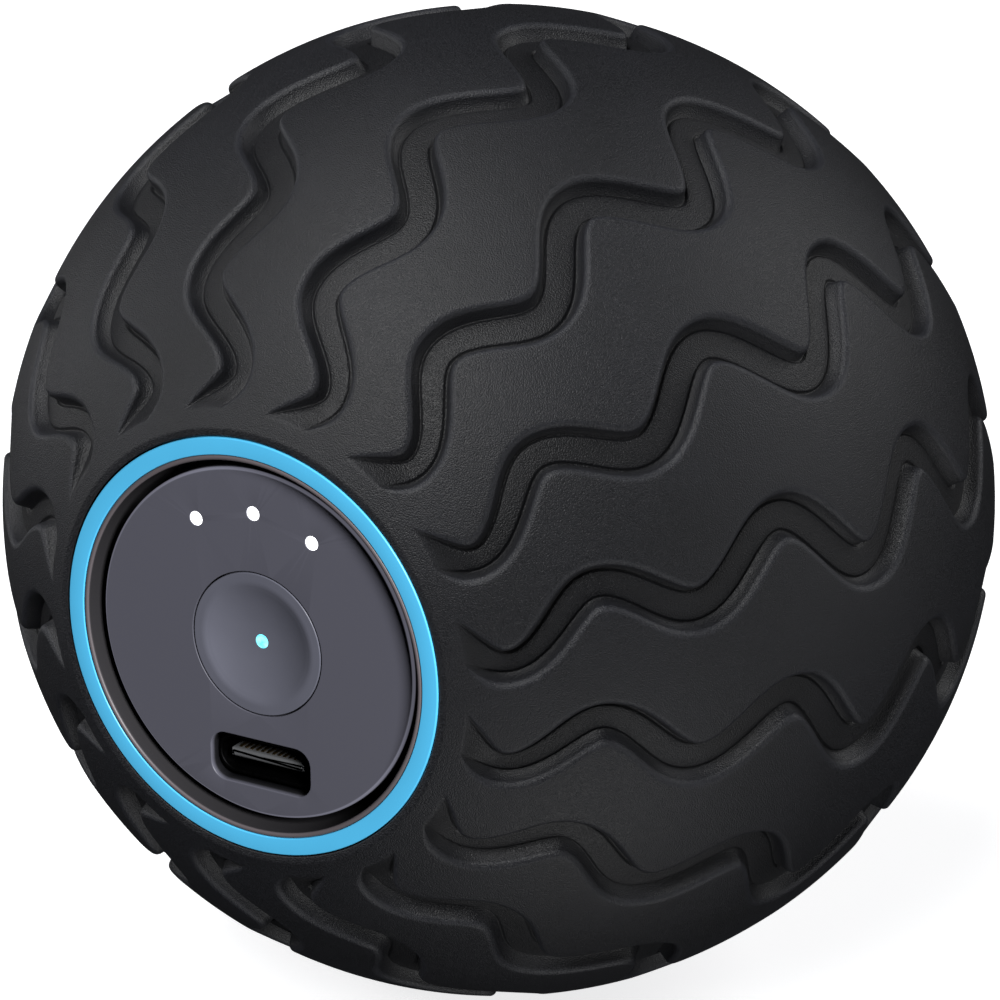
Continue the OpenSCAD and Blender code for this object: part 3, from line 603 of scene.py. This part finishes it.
def make_sleeve():
    """Sleeve with its grooves, its lip and its inner side."""
    theta = sleeve_rows()
    outside, phi = grooved_rows(theta)
    opening = math.degrees(math.asin(OPENING_R / SLEEVE_IN_R))
    inner_theta = np.radians(np.linspace(REAR_END, opening, 40)[:-1])
    rows = [turned(SLEEVE_IN_R * math.sin(a), SLEEVE_IN_R * math.cos(a), phi) for a in inner_theta]
    rows += [turned(radius, height, phi) for radius, height in lip_outline()]
    rows += outside
    points = np.concatenate(rows + [np.array([[0, 0, -SLEEVE_IN_R], [0, 0, -BALL_R]])])
    columns = len(phi)
    faces = grid_faces(len(rows), columns)
    inner_pole = len(rows) * columns
    outer_pole = inner_pole + 1
    last = inner_pole - columns
    for j in range(columns):
        k = (j + 1) % columns
        faces.append((inner_pole, k, j))
        faces.append((outer_pole, last + j, last + k))
    sleeve = new_piece("sleeve", points, faces, SILICONE, "ball", ["silicone_sleeve"])
    # tone attribute: painted shade in the groove floors and creases, painted highlights on the groove
    # edges, 1 elsewhere
    painted_light_tones = np.ones(len(points))
    grooved = slice(inner_pole - len(theta) * columns, inner_pole)
    painted_light_tones[grooved] = np.concatenate([groove_painted_light_tones(theta)] * GROOVES, 1).ravel()
    sleeve.data.attributes.new("tone", "FLOAT", "POINT").data.foreach_set("value", painted_light_tones)
    return sleeve


# ---- Cap, ring and button ----


def make_ring():
    """Blue ring, a plain band with rounded front edges."""
    back = RING_FACE - RING_DEPTH
    outline = rounded([(RING_IN, back, 0), (RING_IN, RING_FACE, RING_EDGE),
                       (RING_OUT, RING_FACE, RING_EDGE), (RING_OUT, back, 0), (RING_IN, back, 0)])
    ring = lathe("trim_ring", outline, RING_BLUE, "ball", ["accent_ring"], 320)
    weight_normals(ring)


def make_bezel():
    """Grey rim between the ring and the gap, the gap's floor, and the flange behind; painted shade darkens
    the gap.
    """
    rim_out = RING_IN - FIT
    seat = RING_FACE - RING_DEPTH - FIT
    flange_front = BEZEL_BACK + FLANGE_T
    outline = rounded([
        (LEDGE_IN, LEDGE_BACK, 0), (LEDGE_IN, LEDGE_FRONT, 0.1), (BEZEL_IN, LEDGE_FRONT, 0.2),
        (BEZEL_IN, RING_FACE, BEZEL_EDGE), (rim_out, RING_FACE, BEZEL_EDGE), (rim_out, seat, 0),
        (RING_OUT, seat, 0), (RING_OUT, flange_front, 0), (COLLAR_OUT, flange_front, 0),
        (COLLAR_OUT, BEZEL_BACK, 0), (BEZEL_IN, BEZEL_BACK, 0), (BEZEL_IN, LEDGE_BACK, 0),
        (LEDGE_IN, LEDGE_BACK, 0)])
    bezel = lathe("bezel_rim", outline, BEZEL_GREY_PAINTED_SHADE, "ball", ["bezel"], 320)
    weight_normals(bezel)


def cap_loops():
    """Edges of the cap: line, side of it that the disc is on, and rounding."""
    loops = [(circle_loop(CAP_R + CAP_SPREAD, (0, 0), 320), -1, CAP_EDGE),
             (circle_loop(BUTTON_HOLE_R, (0, 0), 200), 1, BUTTON_HOLE_EDGE),
             (slot_loop(PORT_W, PORT_H, PORT_CORNER, PORT_CENTRE), 1, PORT_EDGE)]
    loops += [(circle_loop(LIGHT_R + FIT, place, 40), 1, LIGHT_HOLE_EDGE) for place in LIGHT_PLACES]
    return loops


def make_cap():
    """Disc with the button's hole, the light holes and the port's cut-out, all with rounded edges."""
    points, faces, front_rims, back_rims = [], [], [], []
    arc = np.linspace(0, TAU / 4, 7)
    for at, side, edge in cap_loops():
        base = len(points)
        count = len(at(0))
        heights = [(0, CAP_FACE - CAP_T)]
        heights += [(edge * (1 - math.cos(a)), CAP_FACE - edge + edge * math.sin(a)) for a in arc]
        for inset, z in heights:
            points += [(x, y, z) for x, y in at(side * inset)]
        strip = grid_faces(len(heights), count, first=base)
        faces += strip if side < 0 else [f[::-1] for f in strip]
        back_rims.append(range(base, base + count))
        front_rims.append(range(len(points) - count, len(points)))
    faces += flat_fill(points, front_rims)
    faces += [f[::-1] for f in flat_fill(points, back_rims)]
    cap = new_piece("cap_disc", points, faces, CAP_GREY_PAINTED_SHADE_GLOW, "ball", ["control_cap"])
    weight_normals(cap)


def flat_fill(points, rims):
    """Triangles of the flat region inside the first rim and outside the others, facing +z."""
    flat, index, edges = [], [], []
    for rim in rims:
        start = len(flat)
        flat += [Vector(points[i][:2]) for i in rim]
        index += list(rim)
        count = len(rim)
        edges += [(start + k, start + (k + 1) % count) for k in range(count)]
    result = delaunay_2d_cdt(flat, edges, [], 0, 1e-7)
    origin = result[3]
    outlines = [np.array([points[i][:2] for i in rim]) for rim in rims]
    faces = []
    for face in result[2]:
        centre = sum((np.array(result[0][i]) for i in face), np.zeros(2)) / len(face)
        if inside(outlines[0], centre) and not any(inside(o, centre) for o in outlines[1:]):
            corner = [index[origin[i][0]] for i in face]
            a, b, c = (np.array(points[i][:2]) for i in corner[:3])
            turn = (b - a)[0] * (c - a)[1] - (b - a)[1] * (c - a)[0]
            faces.append(tuple(corner if turn > 0 else corner[::-1]))
    return faces


def inside(outline, point):
    """True if a point is inside a closed outline."""
    x, y = point
    a, b = outline, np.roll(outline, -1, 0)
    crosses = (a[:, 1] > y) != (b[:, 1] > y)
    with np.errstate(divide="ignore", invalid="ignore"):
        at = a[:, 0] + (y - a[:, 1]) / (b[:, 1] - a[:, 1]) * (b[:, 0] - a[:, 0])
    return bool(np.count_nonzero(crosses & (at > x)) % 2)


def make_button():
    """Round button with a soft-edged finger dish, its flange and its stem."""
    hole = LIGHT_R + FIT
    radii = np.linspace(hole, DISH_R, 26)
    dish = [(r, CAP_FACE - DISH_DEPTH * (1 - (r / DISH_R) ** DISH_POWER)) for r in radii[:-2]]
    slope = DISH_POWER * DISH_DEPTH / DISH_R
    blend = [(DISH_R + u, CAP_FACE - slope * DISH_BLEND * (0.5 - u / (2 * DISH_BLEND)) ** 2)
             for u in np.linspace(-DISH_BLEND, DISH_BLEND, 7)]
    flat_from, flat_to = DISH_R + 0.36, BUTTON_R - 0.08
    rim = [(r, CAP_FACE) for r in np.linspace(flat_from, flat_to, 5)]
    edge = [(BUTTON_R - BUTTON_EDGE * (1 - math.sin(a)), CAP_FACE - BUTTON_EDGE * (1 - math.cos(a)))
            for a in np.linspace(0, TAU / 4, 5)]
    body = [(BUTTON_R, BUTTON_FLANGE_FRONT), (BUTTON_FLANGE_R, BUTTON_FLANGE_FRONT),
            (BUTTON_FLANGE_R, BUTTON_BACK), (BUTTON_STEM_R, BUTTON_BACK),
            (BUTTON_STEM_R, BUTTON_STEM_BACK), (hole, BUTTON_STEM_BACK), (hole, CAP_FACE - DISH_DEPTH)]
    outline = dish + blend + rim + edge + body
    lathe("button_disc", outline[::-1], BUTTON_GREY, "button", ["power_button"])


def window_outline(edge, back):
    """Outline of a slightly domed window, from the height of its back to that of its dome's edge."""
    dome = [(LIGHT_R * math.sin(a), edge + WINDOW_DOME * math.cos(a))
            for a in np.linspace(0.02, TAU / 4, 10)]
    return [(AXIS_R, back), (LIGHT_R, back), *reversed(dome)]


def make_lights():
    """Windows of the level lights and of the button's lens."""
    window = window_outline(CAP_FACE - LIGHT_SINK, LIGHT_BACK)
    for k, place in enumerate(LIGHT_PLACES):
        lathe(f"level_light_{k + 1}", window, LIGHT_WHITE, "ball",
              ["led_light_guide"] if k == 0 else (), 48, place)
    lens = window_outline(CAP_FACE - DISH_DEPTH - LENS_SINK, LENS_BACK)
    lathe("lens_dome", lens, LIGHT_CYAN, "button", ["button_lens"], 64)


# ---- Charging port ----


def prism(name, loop, outline, material, replaces, closed_top=False):
    """Piece drawn by a loop at (outside, height) steps of an outline."""
    rows = [np.concatenate([loop(o), np.full((len(loop(0)), 1), z)], 1) for o, z in outline]
    count = len(rows[0])
    points = np.concatenate(rows)
    faces = grid_faces(len(rows), count)
    if closed_top:
        faces.append(tuple(range(len(points) - count, len(points))))
    weight_normals(new_piece(name, points, faces, material, "ball", replaces))


def contact(x, side, first):
    """Points and faces of one contact, a raised strip on the tongue with a sloping tip."""
    low = TONGUE_T / 2
    high = low + CONTACT_RISE
    half, top_half = CONTACT_W / 2, CONTACT_TOP_W / 2
    points = []
    for z, drop in ((CONTACT_BACK, 0), (CONTACT_SLOPE, 0), (CONTACT_FRONT, CONTACT_TIP)):
        section = ((-half, low), (-top_half, high - drop), (top_half, high - drop), (half, low))
        points += [(x + across, side * up - PORT_DROP, z) for across, up in section]
    faces = grid_faces(3, 4, first=first)
    faces.append(tuple(range(first + 8, first + 12)))
    return points, faces if side < 0 else [f[::-1] for f in faces]


def make_contacts():
    """Gold contacts on both sides of the tongue."""
    for side in (1, -1):
        points, faces = [], []
        for k in range(CONTACTS):
            x = (k - (CONTACTS - 1) / 2) * CONTACT_PITCH
            more_points, more_faces = contact(x, side, len(points))
            points += more_points
            faces += more_faces
        new_piece(f"port_contacts_{'upper' if side > 0 else 'lower'}", points, faces, CONTACT_GOLD, "ball",
                  ["port_contacts"] if side > 0 else (), smooth=False)


def make_port():
    """Plated shell, the plastic tongue in it, the floor behind the tongue, and the contacts."""
    top = front_of("port_shell")
    shell = slot_loop(PORT_SHELL_W, PORT_SHELL_H, PORT_SHELL_CORNER, PORT_CENTRE)
    wall = rounded([(0, PORT_BACK, 0), (0, top, 0.12), (-PORT_SHELL_T, top, 0.12),
                    (-PORT_SHELL_T, PORT_BACK, 0)], 4)
    prism("port_shell_rim", shell, wall, PORT_BLACK, ["port_shell"])
    tip = front_of("port_tongue")
    tongue = slot_loop(TONGUE_W, TONGUE_T, TONGUE_CORNER, PORT_CENTRE, 4)
    bar = rounded([(0, PORT_BACK, 0), (0, tip, 0.2), (-0.3, tip, 0)], 5)
    prism("port_tongue_bar", tongue, bar, TONGUE_BLACK, ["port_tongue"], closed_top=True)
    gap = PORT_SHELL_T + FIT
    base = slot_loop(PORT_SHELL_W - 2 * gap, PORT_SHELL_H - 2 * gap, PORT_SHELL_CORNER - gap, PORT_CENTRE)
    block = [(0, PORT_BACK), (0, PORT_FLOOR), (-1.0, PORT_FLOOR)]
    prism("port_floor", base, block, PORT_FLOOR_BLACK, (), closed_top=True)
    make_contacts()


# ---- CAD nodes inside ----


def finish_inner_nodes():
    """The sealed pieces inside keep their CAD shape and get a material for each slot."""
    record = frame["record"]
    looks = {m["slot"]: m for m in record["materials"]}
    made = {}
    for part in record["subparts"]:
        look = looks[part["material_slot"]]
        slot = look["slot"]
        if slot not in made:
            colour = list(look["base_color"])[:3]
            if look["class"] in ("brushed_steel", "brass", "aluminium", "chrome", "cast_iron"):
                made[slot] = metal("inner_" + slot, colour, 0.35)
            elif look["class"] == "rubber":
                made[slot] = moulded("inner_" + slot, colour, 0.6, grain_mm=0.3, height_mm=0.01)
            else:
                made[slot] = moulded("inner_" + slot, colour, 0.45)
        node = frame["nodes"][part["node"]]
        node.data.materials.clear()
        node.data.materials.append(made[slot])


# ---- Floor, light and camera ----


def make_stage():
    """Pale floor under the ball that runs up into a pale backdrop."""
    m = Nodes("studio_paper")
    m.link(m.ramp(m.noise(60.0), ((0.3, linear(236, 236, 237)), (0.7, linear(240, 240, 241)))),
           m.shader.inputs["Base Color"])
    m.set(Roughness=0.9, Specular_IOR_Level=0.0, Emission_Strength=0.85)
    m.shader.inputs["Emission Color"].default_value = linear(245, 245, 246)
    near, far, bend, top, side = -2.0, 0.9, 0.35, 2.5, 2.5
    path = [(near, 0.0), (far, 0.0)]
    path += [(far + bend * math.sin(a), bend * (1 - math.cos(a))) for a in np.linspace(0, TAU / 4, 16)[1:]]
    path += [(far + bend, top)]
    toward = Vector((-math.sin(AZIMUTH), math.cos(AZIMUTH), 0))
    across = Vector((math.cos(AZIMUTH), math.sin(AZIMUTH), 0))
    low = -BALL_R / MM
    points = [toward * d + across * s + Vector((0, 0, h + low)) for d, h in path for s in (-side, side)]
    faces = [(2 * i, 2 * i + 1, 2 * i + 3, 2 * i + 2) for i in range(len(path) - 1)]
    mesh = bpy.data.meshes.new("studio_floor")
    mesh.from_pydata([tuple(p) for p in points], [], faces)
    mesh.materials.append(m.material)
    mesh.polygons.foreach_set("use_smooth", [True] * len(faces))
    floor = bpy.data.objects.new("studio_floor", mesh)
    SCENE.collection.objects.link(floor)
    # the paper isn't mirrored in the ball, casts no light on it and doesn't stop the low light
    floor.visible_glossy = False
    floor.visible_diffuse = False
    floor.visible_shadow = False
    return floor


AZIMUTH = math.radians(31.5)
ELEVATION = math.radians(20.92)
ROLL = math.radians(0.64)
CAMERA_DISTANCE = 9.7 * BALL_R / MM
LENS = 172.4
SENSOR = 36.0
SHIFT_X, SHIFT_Y = 0.0012, -0.0002
BACK = Vector((math.sin(AZIMUTH) * math.cos(ELEVATION), -math.cos(AZIMUTH) * math.cos(ELEVATION),
               math.sin(ELEVATION)))


def make_camera():
    """Long lens, a little above the ball and to its right."""
    camera = bpy.data.objects.new("camera", bpy.data.cameras.new("camera"))
    SCENE.collection.objects.link(camera)
    camera.data.lens = LENS
    camera.data.sensor_width = SENSOR
    camera.data.shift_x = SHIFT_X
    camera.data.shift_y = SHIFT_Y
    turn = BACK.to_track_quat("Z", "Y").to_matrix()
    camera.matrix_world = (Matrix.Translation(BACK * CAMERA_DISTANCE) @ turn.to_4x4()
                           @ Matrix.Rotation(-ROLL, 4, "Z"))
    SCENE.camera = camera


def soft_light(name, right, up, forward, size, power, pieces):
    """Square soft light, placed from the camera's side and aimed at the ball, that lights some pieces."""
    side = Vector((math.cos(AZIMUTH), math.sin(AZIMUTH), 0))
    above = BACK.cross(side)
    data = bpy.data.lights.new(name, "AREA")
    data.size = size
    data.energy = power
    light = bpy.data.objects.new(name, data)
    SCENE.collection.objects.link(light)
    place = side * right + above * up + BACK * forward
    light.matrix_world = Matrix.Translation(place) @ place.to_track_quat("Z", "Y").to_matrix().to_4x4()
    group = bpy.data.collections.new(name + "_lights")
    for piece in pieces:
        group.objects.link(piece)
    light.light_linking.receiver_collection = group


def make_lights_and_world(sleeve, floor):
    """Soft boxes around the sleeve, one for the cap and the rest, and a plain pale world."""
    grip = [sleeve, floor]
    face = [piece for piece in SCENE.objects if piece.type == "MESH" and piece not in grip]
    soft_light("key", -0.4, 0.5, 1.15, 0.6, 9.0, grip)
    soft_light("left", -1.3, 0.25, 0.25, 1.1, 4.5, grip)
    soft_light("right", 1.0, 0.75, 0.05, 0.8, 5.0, grip)
    soft_light("top", -0.5, 1.2, 0.5, 0.5, 6.0, grip)
    soft_light("rim_left", -1.0, 0.4, -0.75, 0.5, 1.0, grip)
    soft_light("fill_right", 1.4, -0.2, 0.5, 1.5, 4.0, grip)
    soft_light("fill_low", 0.3, -1.2, 0.4, 1.0, 5.0, grip)
    soft_light("face", 0.42, 0.16, 1.0, 0.3, 26.0, face)
    backdrop = bpy.data.worlds.new("studio")
    SCENE.world = backdrop
    backdrop.use_nodes = True
    shade = backdrop.node_tree.nodes["Background"]
    shade.inputs["Color"].default_value = (1, 1, 1, 1)
    shade.inputs["Strength"].default_value = 1.0
    backdrop.cycles_visibility.glossy = False
    backdrop.cycles_visibility.diffuse = False
    SCENE.view_settings.view_transform = "Standard"


make_camera()
floor = make_stage()
finish_inner_nodes()
sleeve = make_sleeve()
make_ring()
make_bezel()
make_cap()
make_button()
make_lights()
make_port()
make_lights_and_world(sleeve, floor)
